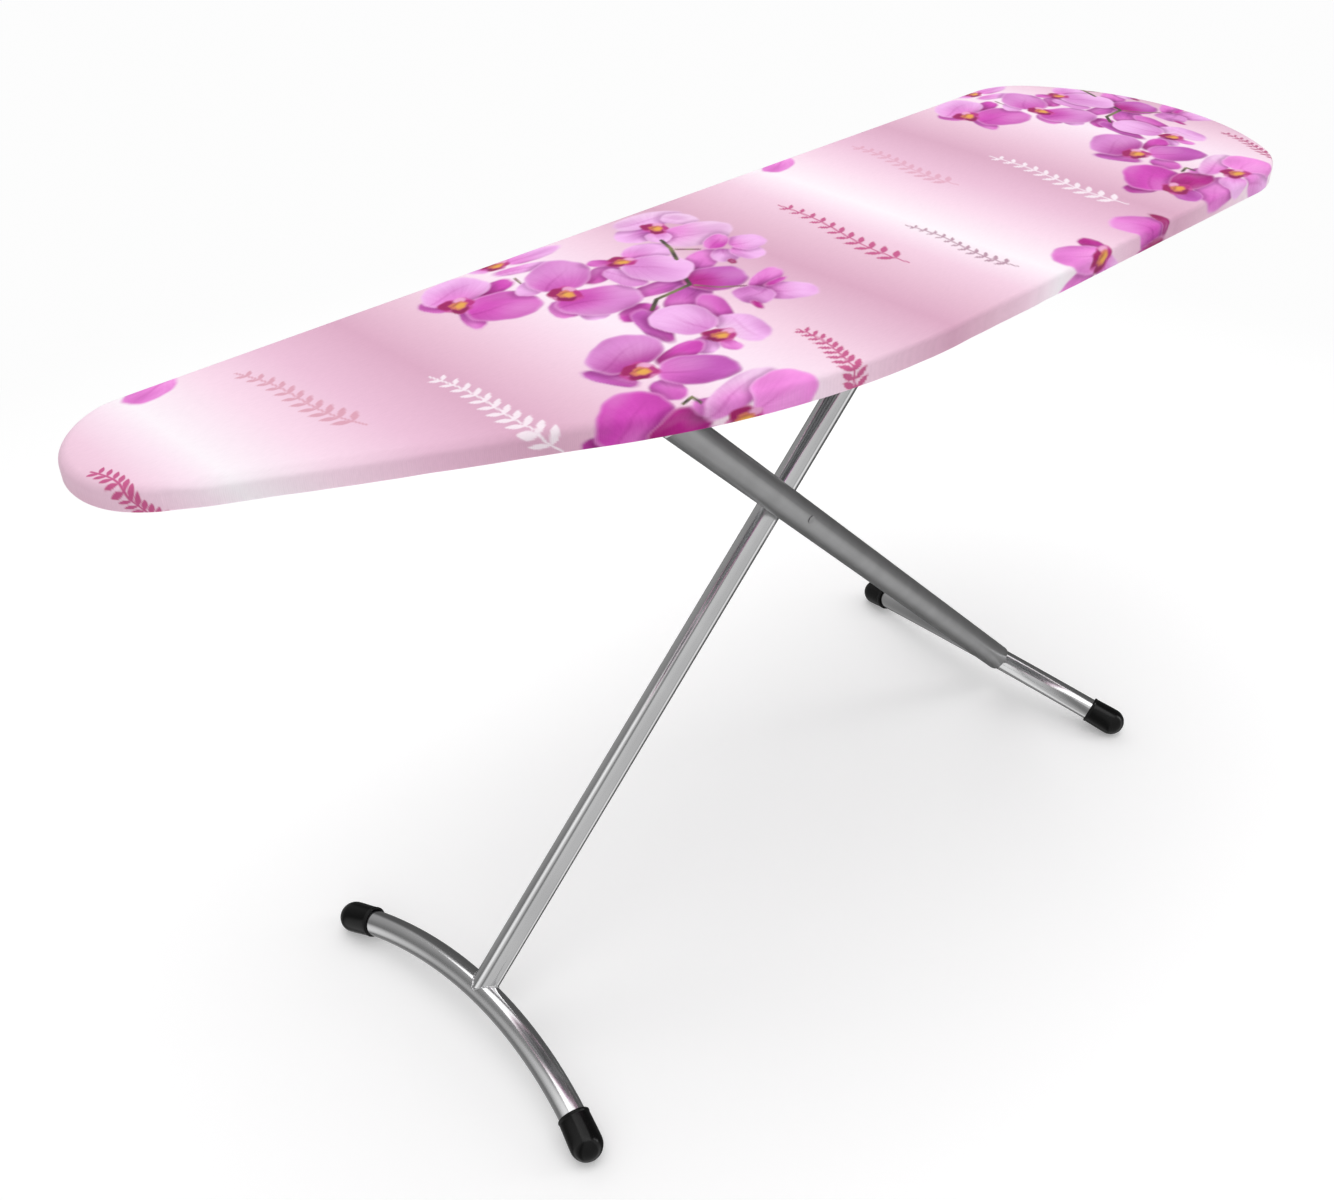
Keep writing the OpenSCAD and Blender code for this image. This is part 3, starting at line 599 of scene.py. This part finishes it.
def steel_mesh():
    """Expanded steel: strands that meet in diamonds, cut off under the rim."""
    long, short, middle = 7.5, 3.75, 14
    strand, rim, slack, twist = 1.5, 3.5, 0.12, 0.1
    i, j = np.meshgrid(np.arange(-83, 84), np.arange(-56, 57), indexing="ij")
    keep = (i + j) % 2 == 0
    at = np.column_stack([i[keep] * long, j[keep] * short + middle])
    starts = np.concatenate([at, at])
    ends = np.concatenate([at + (long, short), at + (long, -short)])
    ok = inside_outline(starts, rim) & inside_outline(ends, rim)
    low, high = PANEL_LOW[2] / MM + slack, PANEL_HIGH[2] / MM - slack
    points, quads = boxes(starts[ok], ends[ok], strand, low, high, twist)
    return make_mesh("steel_mesh", points, quads, smooth=False)


# ---------------------------------------------------------------- foot caps and the weld bead
def placed_mesh(name, points, quads, matrix):
    """A mesh moved into place by a matrix in millimetres."""
    m = np.array(matrix)
    return make_mesh(name, points @ m[:3, :3].T + m[:3, 3], quads)


def lathe(name, profile, matrix):
    """Turns (radius, height) points round the local Z axis; matrix places it."""
    sides = 64
    profile = np.asarray(profile, float)
    a = np.linspace(0, 2 * math.pi, sides, endpoint=False)
    ring = np.stack([np.cos(a), np.sin(a)], 1)
    points = np.concatenate([np.column_stack([r * ring, np.full(sides, h)]) for r, h in profile])
    index = np.arange(len(points)).reshape(len(profile), sides)
    nxt = np.roll(index, -1, 1)
    quads = np.stack([index[:-1], nxt[:-1], nxt[1:], index[1:]], -1).reshape(-1, 4)
    return placed_mesh(name, points, quads, matrix)


# The legs' and feet's driving sizes, as in the CAD.
AXLE_Z, LEG_ANGLE, PIVOT_X = 612.0, math.radians(44.8), -32.0
CAP_R, BAR_Y, BAR_R = 15.5, -4.5, 12.7
SPREAD, RISE, FOOT_WIDTH = 826.0, 36.0, 395.0
PIVOT_Z = CAP_R + SPREAD / 2 * math.tan(LEG_ANGLE)
TOP_REACH = (AXLE_Z - PIVOT_Z) / math.sin(LEG_ANGLE)
LEG_LENGTH = TOP_REACH + SPREAD / 2 / math.cos(LEG_ANGLE)
FOOT_HALF = FOOT_WIDTH / 2 - CAP_R
FOOT_END = 4.0
FOOT_TURN = 2 * math.atan(RISE / (FOOT_HALF + FOOT_END))
FOOT_ARC = (FOOT_HALF - FOOT_END * math.cos(FOOT_TURN)) / math.sin(FOOT_TURN)


def leg_space(side):
    """The space along a leg, +Z from its top to its foot: side 1 is the grey leg, -1 the chrome one."""
    x = PIVOT_X - side * TOP_REACH * math.cos(LEG_ANGLE)
    turn = Matrix.Rotation(side * (math.pi / 2 + LEG_ANGLE), 4, "Y")
    return Matrix.Translation((x, 0, AXLE_Z)) @ turn


def foot_space(side):
    """The space round the centre of a foot bar's arc, +Z across the board."""
    middle = Matrix.Translation((0, BAR_Y, LEG_LENGTH - RISE + FOOT_ARC))
    return leg_space(side) @ middle @ Matrix.Rotation(math.pi / 2, 4, "Y")


def cap_profile():
    """Mouth, rolled lip, shallow groove, body and a full round end."""
    end_r = 15.42
    rows = [(12.75, -23.5), (12.78, -27.3), (13.2, -28.0), (14.5, -28.2), (15.15, -27.6), (15.3, -26.6),
            (15.1, -25.7), (14.75, -25.2), (14.8, -24.5), (14.95, -22), (15.1, -16), (15.3, -9), (end_r, -3)]
    rows += [(end_r * math.cos(t), end_r * math.sin(t)) for t in np.linspace(0, math.pi / 2, 22)[1:-1]]
    return rows + [(0.01, end_r)]


def foot_cap(name, side, hand):
    """A moulded cap on one end of a foot bar: hand 1 is the far end."""
    turn = Matrix.Rotation(hand * FOOT_TURN, 4, "Z") @ Matrix.Translation((FOOT_ARC, 0, 0))
    place = foot_space(side) @ turn @ Matrix.Rotation(-math.pi / 2 * hand, 4, "X")
    return lathe(name, cap_profile(), place @ Matrix.Translation((0, 0, FOOT_END)))


def weld_bead(name, side):
    """A thin rippled bead where a leg tube is coped onto its foot bar."""
    count, ring, radius = 180, 8, BAR_R + 0.2
    a = np.linspace(0, 2 * math.pi, count, endpoint=False)
    out = np.column_stack([np.cos(a), np.sin(a), np.zeros(count)])
    cope = np.sqrt(np.maximum(BAR_R ** 2 - (radius * out[:, 0]) ** 2, 0.0))
    sag = FOOT_ARC - np.sqrt(FOOT_ARC ** 2 - (radius * out[:, 1]) ** 2)
    joint = np.column_stack([np.zeros(count), np.full(count, BAR_Y), LEG_LENGTH - RISE + sag - cope])
    centre = radius * out + joint
    size = 0.9 + 0.18 * np.sin(a * 34)
    b = np.linspace(0, 2 * math.pi, ring, endpoint=False)
    round_it = np.cos(b)[None, :, None] * out[:, None] + np.sin(b)[None, :, None] * np.array([0, 0, 1.0])
    points = (centre[:, None] + size[:, None, None] * round_it).reshape(-1, 3)
    index = np.arange(len(points)).reshape(count, ring)
    up, nxt = np.roll(index, -1, 1), np.roll(index, -1, 0)
    quads = np.stack([index, nxt, np.roll(nxt, -1, 1), up], -1).reshape(-1, 4)
    return placed_mesh(name, points, quads, leg_space(side))


# ---------------------------------------------------------------- materials
def material(name):
    """A new material, its nodes and its shader."""
    m = bpy.data.materials.new(name)
    m.use_nodes = True
    tree = m.node_tree
    return m, tree, tree.nodes["Principled BSDF"]


def node(tree, kind, **settings):
    """A new node; each setting is an input's value or one of the node's own."""
    n = tree.nodes.new(kind)
    for key, value in settings.items():
        if key in n.inputs:
            n.inputs[key].default_value = value
        else:
            setattr(n, key, value)
    return n


def ramp(tree, source, low, high, first=0.0, last=1.0):
    """Maps a value from first and last to low and high."""
    r = tree.nodes.new("ShaderNodeMapRange")
    r.inputs["From Min"].default_value, r.inputs["From Max"].default_value = first, last
    r.inputs["To Min"].default_value, r.inputs["To Max"].default_value = low, high
    tree.links.new(source, r.inputs["Value"])
    return r.outputs["Result"]


def place(tree, scale=(1, 1, 1)):
    """Object coordinates in metres, scaled."""
    where = tree.nodes.new("ShaderNodeTexCoord")
    mapping = node(tree, "ShaderNodeMapping", Scale=scale)
    tree.links.new(where.outputs["Object"], mapping.inputs["Vector"])
    return mapping.outputs["Vector"]


def noise(tree, vector, scale, detail=3.0, rough=0.5):
    """A noise pattern's value; a scale of 1 repeats about once in a metre."""
    n = node(tree, "ShaderNodeTexNoise", Scale=scale, Detail=detail, Roughness=rough)
    tree.links.new(vector, n.inputs["Vector"])
    return n.outputs["Fac"]


def tint(tree, shader, source, dark, light):
    """Drives the base colour between two colours."""
    m = tree.nodes.new("ShaderNodeMix")
    m.data_type = "RGBA"
    m.inputs[6].default_value, m.inputs[7].default_value = (*dark, 1), (*light, 1)
    tree.links.new(source, m.inputs[0])
    tree.links.new(m.outputs[2], shader.inputs["Base Color"])


def bump(tree, shader, height, distance, strength=1.0):
    """Raises the surface by a pattern, up to a distance in metres."""
    b = node(tree, "ShaderNodeBump", Strength=strength, Distance=distance)
    tree.links.new(height, b.inputs["Height"])
    tree.links.new(b.outputs["Normal"], shader.inputs["Normal"])


def metal(name, dark, light, rough, grain=(1, 1, 1), scale=60, depth=0.00002, metallic=1.0):
    """A metal with a fine grain in its colour, roughness and surface."""
    m, tree, s = material(name)
    s.inputs["Metallic"].default_value = metallic
    where = place(tree, grain)
    broad, fine = noise(tree, where, scale / 6), noise(tree, where, scale * 12, 4.0, 0.6)
    tint(tree, s, ramp(tree, broad, 0, 1, 0.3, 0.7), dark, light)
    tree.links.new(ramp(tree, fine, rough[0], rough[1], 0.3, 0.7), s.inputs["Roughness"])
    bump(tree, s, fine, depth)
    return m


def plastic(name, dark, light, rough, shine=0.35, scale=900, depth=0.00003):
    """A moulded plastic with a fine texture."""
    m, tree, s = material(name)
    where = place(tree)
    fine, broad = noise(tree, where, scale, 4.0), noise(tree, where, 30)
    tint(tree, s, ramp(tree, broad, 0, 1, 0.3, 0.7), dark, light)
    tree.links.new(ramp(tree, fine, rough[0], rough[1], 0.3, 0.7), s.inputs["Roughness"])
    s.inputs["Specular IOR Level"].default_value = shine
    bump(tree, s, fine, depth)
    return m


def threads(tree, where, axis, pitch):
    """A wave across one axis with the cloth's thread pitch, in metres."""
    w = node(tree, "ShaderNodeTexWave", wave_type="BANDS", bands_direction=axis, wave_profile="SIN",
             Scale=1 / (3.18 * pitch), Distortion=0.6, Detail=1.0)
    w.inputs["Detail Scale"].default_value = 1.5
    tree.links.new(where, w.inputs["Vector"])
    return w.outputs["Fac"]


def cloth_material():
    """Printed cotton: the print, plain weave threads, slubs and a soft sheen."""
    m, tree, s = material("printed_cotton")
    where = place(tree)
    pitch = 0.0007
    warp, weft = threads(tree, where, "X", pitch), threads(tree, where, "Y", pitch)
    weave = node(tree, "ShaderNodeMath", operation="MULTIPLY")
    tree.links.new(warp, weave.inputs[0])
    tree.links.new(weft, weave.inputs[1])
    slub = noise(tree, place(tree, (1, 9, 1)), 160, 3.0)
    colour = node(tree, "ShaderNodeAttribute", attribute_name="print")
    shade = tree.nodes.new("ShaderNodeMix")
    shade.data_type, shade.blend_type = "RGBA", "MULTIPLY"
    shade.inputs[7].default_value = (0.90, 0.885, 0.895, 1)
    total = node(tree, "ShaderNodeMath", operation="ADD")
    tree.links.new(ramp(tree, weave.outputs[0], 0.0, 0.5), total.inputs[0])
    tree.links.new(ramp(tree, slub, 0.0, 0.4, 0.35, 0.75), total.inputs[1])
    tree.links.new(total.outputs[0], shade.inputs[0])
    tree.links.new(colour.outputs["Color"], shade.inputs[6])
    tree.links.new(shade.outputs[2], s.inputs["Base Color"])
    tree.links.new(ramp(tree, slub, 0.62, 0.80, 0.3, 0.7), s.inputs["Roughness"])
    s.inputs["Sheen Weight"].default_value = 0.12
    s.inputs["Sheen Roughness"].default_value = 0.4
    s.inputs["Specular IOR Level"].default_value = 0.25
    bump(tree, s, total.outputs[0], 0.00012, 0.7)
    return m


def foam_painted_shade_material():
    """Felted foam with open cells; its dark grey is painted shade, which the chrome legs mirror as the shaded
    underside of the board.
    """
    m, tree, s = material("pad_foam")
    where = place(tree)
    cells = node(tree, "ShaderNodeTexVoronoi", Scale=700.0)
    tree.links.new(where, cells.inputs["Vector"])
    patches = ramp(tree, noise(tree, where, 40), 0, 1, 0.3, 0.7)
    # painted shade: these two dark greys stand in for the shade under the board that the chrome legs mirror
    tint(tree, s, patches, (0.16, 0.16, 0.165), (0.22, 0.22, 0.225))
    tree.links.new(ramp(tree, cells.outputs["Distance"], 0.80, 0.98), s.inputs["Roughness"])
    bump(tree, s, cells.outputs["Distance"], 0.0003)
    return m


# Each slot's material: the darker and lighter colour, then the roughness from and to.
MATERIALS = {
    "cover_fabric": cloth_material(),
    "pad_foam": foam_painted_shade_material(),
    "panel_steel": metal("galvanised_mesh", (0.50, 0.51, 0.53), (0.68, 0.69, 0.71), (0.32, 0.5), scale=300),
    "frame_steel": metal("white_enamel_steel", (0.66, 0.67, 0.68), (0.78, 0.79, 0.80), (0.30, 0.44),
                         metallic=0.35),
    "rail_aluminium": metal("extruded_aluminium", (0.62, 0.63, 0.64), (0.76, 0.77, 0.78), (0.26, 0.42),
                            grain=(0.06, 1, 1), scale=300, depth=0.00003),
    "zinc_steel": metal("zinc_plate", (0.56, 0.57, 0.58), (0.72, 0.72, 0.72), (0.24, 0.40), scale=240),
    "rivet_steel": metal("rivet_steel", (0.31, 0.31, 0.313), (0.37, 0.37, 0.374), (0.34, 0.44),
                         scale=240, metallic=0.8),
    "nylon": plastic("white_nylon", (0.74, 0.74, 0.70), (0.84, 0.84, 0.81), (0.34, 0.48)),
    "grip_plastic": plastic("grip_plastic", (0.018, 0.018, 0.020), (0.034, 0.034, 0.037), (0.38, 0.56)),
    "spring_steel": metal("spring_steel", (0.42, 0.42, 0.43), (0.60, 0.60, 0.61), (0.20, 0.32), scale=300),
    "grey_satin": metal("grey_satin_paint", (0.34, 0.34, 0.343), (0.39, 0.39, 0.394), (0.28, 0.36),
                        scale=220, metallic=0.8),
    "chrome_tube": metal("satin_chrome", (0.66, 0.66, 0.665), (0.74, 0.74, 0.745), (0.12, 0.17),
                         scale=80, depth=0.000003),
    "cap_plastic": plastic("cap_plastic", (0.002, 0.002, 0.002), (0.004, 0.004, 0.004), (0.16, 0.24),
                           shine=0.22, scale=600, depth=0.000012),
}
MATERIALS["hem_elastic"] = MATERIALS["cover_fabric"]


def wear(obj, slot):
    """Gives an object one material slot with the material of the record's slot."""
    obj.data.materials.clear()
    obj.data.materials.append(MATERIALS[slot])


def settle(obj, body, slot, *nodes):
    """A new piece: its material, its body and the CAD nodes that it stands for."""
    wear(obj, slot)
    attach(obj, body)
    if nodes:
        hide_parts(*nodes)
    return obj


NODE_SLOTS = {n: slot for slot, names in {
    "frame_steel": ["rim_channel", "cross_member_nose", "cross_member_front", "cross_member_middle",
                    "cross_member_rear", "cross_member_heel"],
    "rail_aluminium": ["guide_rail_near", "guide_rail_far"],
    "zinc_steel": ["top_axle", "axle_push_nut", "lock_rack", "lock_shaft", "release_lever", "pivot_cap_nut"],
    "rivet_steel": ["rail_rivets", "pivot_rivet"],
    "nylon": ["axle_spacers", "lock_bushes", "crossbar_bushes", "pivot_spacer", "pivot_bush", "glide_near",
              "glide_far"],
    "grip_plastic": ["lever_grip"],
    "spring_steel": ["return_spring"],
    "grey_satin": ["grey_leg", "grey_leg_crossbar"],
    "chrome_tube": ["chrome_leg", "grey_foot_bar", "chrome_foot_bar", "slider_bar"],
}.items() for n in names}
for cad_name, cad_slot in NODE_SLOTS.items():
    cad = frame["nodes"][cad_name]
    cad.data.materials.clear()
    cad.data.materials.append(MATERIALS[cad_slot])

cover = settle(board_cover(), "board", "cover_fabric", "cover", "hem_elastic")
pad = settle(board_pad(), "board", "pad_foam", "pad")
settle(steel_mesh(), "board", "panel_steel", "mesh_panel")
for cap_name, cap_side, cap_hand, cap_body in (
        ("rear_cap_near", 1, -1, "grey_leg_frame"), ("rear_cap_far", 1, 1, "grey_leg_frame"),
        ("front_cap_near", -1, -1, "chrome_leg_frame"), ("front_cap_far", -1, 1, "chrome_leg_frame")):
    settle(foot_cap("moulded_" + cap_name, cap_side, cap_hand), cap_body, "cap_plastic", cap_name)
settle(weld_bead("foot_weld", -1), "chrome_leg_frame", "chrome_tube")

# ---------------------------------------------------------------- stage, light and camera
scene = bpy.context.scene
scene.view_settings.view_transform = "Standard"
WHITE = (0.98, 0.98, 0.98, 1)  # what the camera sees behind the board


def colour_stops(tree, source, stops):
    """A grey ramp with the given (place, value) stops."""
    r = tree.nodes.new("ShaderNodeValToRGB")
    tree.links.new(source, r.inputs["Fac"])
    e = r.color_ramp.elements
    while len(e) < len(stops):
        e.new(0.5)
    for item, (at, v) in zip(e, stops):
        item.position, item.color = at, (v, v, v, 1)
    return r.outputs["Color"]


def floor():
    """White paper: it takes the soft shadows near the board and fades to plain white further off."""
    size, fade_from, fade_to = 14000.0, 0.7, 1.6  # the fade's two radii are in metres
    corners = np.array([[-size, -size, 0], [size, -size, 0], [size, size, 0], [-size, size, 0]])
    obj = make_mesh("floor", corners, np.array([[0, 1, 2, 3]]), smooth=False)
    m, tree, s = material("floor_white")
    s.inputs["Base Color"].default_value = (0.90, 0.90, 0.90, 1)
    s.inputs["Emission Color"].default_value = (1, 1, 1, 1)
    s.inputs["Emission Strength"].default_value = 0.23
    s.inputs["Roughness"].default_value = 0.9
    s.inputs["Specular IOR Level"].default_value = 0.1
    far = node(tree, "ShaderNodeVectorMath", operation="LENGTH")
    tree.links.new(place(tree), far.inputs[0])
    paper, fade = node(tree, "ShaderNodeEmission", Color=WHITE), tree.nodes.new("ShaderNodeMixShader")
    tree.links.new(ramp(tree, far.outputs["Value"], 0, 1, fade_from, fade_to), fade.inputs[0])
    tree.links.new(s.outputs[0], fade.inputs[1])
    tree.links.new(paper.outputs[0], fade.inputs[2])
    tree.links.new(fade.outputs[0], tree.nodes["Material Output"].inputs["Surface"])
    obj.data.materials.append(m)
    obj.visible_glossy = False


# Brightness by height, from straight down at 0 to straight up at 1: the sky's light and the studio's.
SKY = [(0.0, 0.6), (0.50, 0.25), (0.60, 0.50), (0.75, 1.05), (1.0, 1.25)]
STUDIO = [(0.0, 0.95), (0.45, 1.0), (0.60, 1.0), (0.80, 1.15), (1.0, 1.25)]
# The studio's light and dark walls once round, from -X by way of -Y.
WALLS = [(0.0, 0.90), (0.03, 0.35), (0.055, 0.35), (0.08, 1.0), (0.30, 1.0), (0.325, 0.7), (0.35, 1.7),
         (0.39, 1.6), (0.415, 0.4), (0.45, 0.18), (0.68, 0.18), (0.72, 0.60), (0.82, 0.50), (0.90, 0.30),
         (0.925, 1.6), (0.965, 1.6), (0.985, 0.9), (1.0, 0.9)]


def world():
    """A plain white surround for the camera and a soft sky for light; metal mirrors a banded studio."""
    w = bpy.data.worlds.new("studio")
    scene.world = w
    w.use_nodes = True
    tree = w.node_tree
    where = tree.nodes.new("ShaderNodeTexCoord")
    split = tree.nodes.new("ShaderNodeSeparateXYZ")
    tree.links.new(where.outputs["Generated"], split.inputs[0])
    up = ramp(tree, split.outputs["Z"], 0, 1, -1.0, 1.0)
    sky, height = colour_stops(tree, up, SKY), colour_stops(tree, up, STUDIO)
    round_it = node(tree, "ShaderNodeTexGradient", gradient_type="RADIAL")
    tree.links.new(where.outputs["Generated"], round_it.inputs[0])
    bands = colour_stops(tree, round_it.outputs["Fac"], WALLS)
    studio = node(tree, "ShaderNodeMix", data_type="RGBA", blend_type="MULTIPLY")
    studio.inputs[0].default_value = 1.0
    tree.links.new(height, studio.inputs[6])
    tree.links.new(bands, studio.inputs[7])
    back = tree.nodes["Background"]
    back.inputs["Strength"].default_value = 0.55
    tree.links.new(sky, back.inputs["Color"])
    metal_back = node(tree, "ShaderNodeBackground", Strength=0.62)
    tree.links.new(studio.outputs[2], metal_back.inputs["Color"])
    plain = node(tree, "ShaderNodeBackground", Color=WHITE, Strength=1.0)
    path = tree.nodes.new("ShaderNodeLightPath")
    last = back
    for ray, other in (("Is Glossy Ray", metal_back), ("Is Camera Ray", plain)):
        pick = tree.nodes.new("ShaderNodeMixShader")
        tree.links.new(path.outputs[ray], pick.inputs[0])
        tree.links.new(last.outputs[0], pick.inputs[1])
        tree.links.new(other.outputs[0], pick.inputs[2])
        last = pick
    tree.links.new(last.outputs[0], tree.nodes["World Output"].inputs["Surface"])


def lamp(name, at, to, size, watts, mirrored=True):
    """A rectangular lamp at one place in metres, turned to another; metal can mirror it."""
    light = bpy.data.lights.new(name, "AREA")
    light.shape, light.size, light.size_y, light.energy = "RECTANGLE", size[0], size[1], watts
    obj = bpy.data.objects.new(name, light)
    obj.visible_glossy = mirrored
    obj.location = at
    obj.rotation_euler = (Vector(to) - Vector(at)).to_track_quat("-Z", "Y").to_euler()
    scene.collection.objects.link(obj)


def camera():
    """The camera, from its place, heading, height angle and slight roll."""
    place_m, lens_mm = (-0.9162, -0.8005, 1.1793), 39.861
    azimuth, elevation, roll = math.radians(-43.055), math.radians(36.291), -0.0067
    back = Vector((math.sin(azimuth) * math.cos(elevation), -math.cos(azimuth) * math.cos(elevation),
                   math.sin(elevation)))
    right = Vector((math.cos(azimuth), math.sin(azimuth), 0))
    up = back.cross(right)
    turned = right * math.cos(roll) + up * math.sin(roll)
    up = up * math.cos(roll) - right * math.sin(roll)
    data = bpy.data.cameras.new("camera")
    data.lens, data.sensor_width, data.sensor_fit = lens_mm, 36.0, "HORIZONTAL"
    data.clip_start, data.clip_end = 0.05, 60
    obj = bpy.data.objects.new("camera", data)
    obj.matrix_world = Matrix.Translation(place_m) @ Matrix((turned, up, back)).transposed().to_4x4()
    scene.collection.objects.link(obj)
    scene.camera = obj


floor()
world()
camera()
lamp("overhead", (0.2, 0.4, 3.4), (0, 0, 0), (3.5, 3.5), 54)
lamp("front_soft", (-2.6, -2.4, 1.6), (0, 0, 0.3), (2.2, 1.4), 8, mirrored=False)
lamp("side_strip", (2.6, -2.0, 1.5), (0, 0, 0.3), (0.5, 2.2), 12.5)
